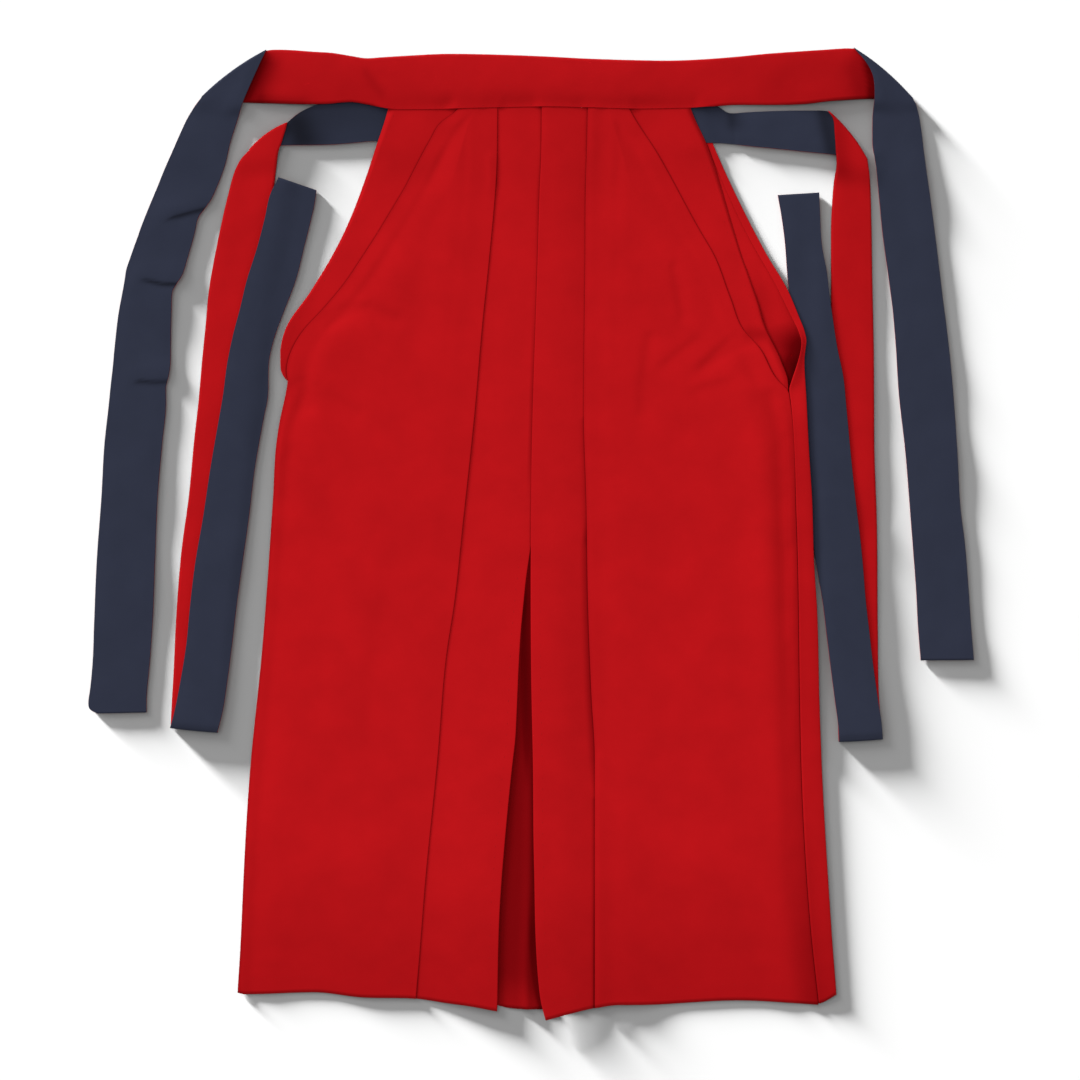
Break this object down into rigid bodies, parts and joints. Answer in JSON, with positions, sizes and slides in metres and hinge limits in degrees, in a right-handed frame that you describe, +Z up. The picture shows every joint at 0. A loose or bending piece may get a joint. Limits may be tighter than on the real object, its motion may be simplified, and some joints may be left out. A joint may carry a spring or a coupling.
{
  "type": "hakama trousers",
  "caption": "Pleated divided trousers laid flat, front up, with a flat waistband, slanted side openings, a slit between wide legs and long two-tone ties.",
  "frame": {"origin": "middle of the laid-out garment's box, on the surface that it lies on", "axes": "+Y towards the waistband, +X towards the right-hand side seen from above, +Z up out of the surface"},
  "size_m": [0.8856, 0.9715, 0.0101],
  "materials": {
    "red_twill": "smooth matt scarlet twill, faint sheen",
    "navy_twill": "smooth matt dark navy twill"
  },
  "bodies": {
    "root": {"front_leg_left": "red_twill", "front_leg_right": "red_twill", "back_leg_left": "red_twill", "back_leg_right": "red_twill", "front_waistband_face": "red_twill", "front_waistband_lining": "navy_twill", "back_waistband_face": "red_twill", "back_waistband_lining": "navy_twill", "front_tie_left_face": "red_twill", "front_tie_left_lining": "navy_twill", "front_tie_right_face": "red_twill", "front_tie_right_lining": "navy_twill", "back_tie_left_face": "red_twill", "back_tie_left_lining": "navy_twill", "back_tie_right_face": "red_twill", "back_tie_right_lining": "navy_twill"}
  },
  "joints": []
}
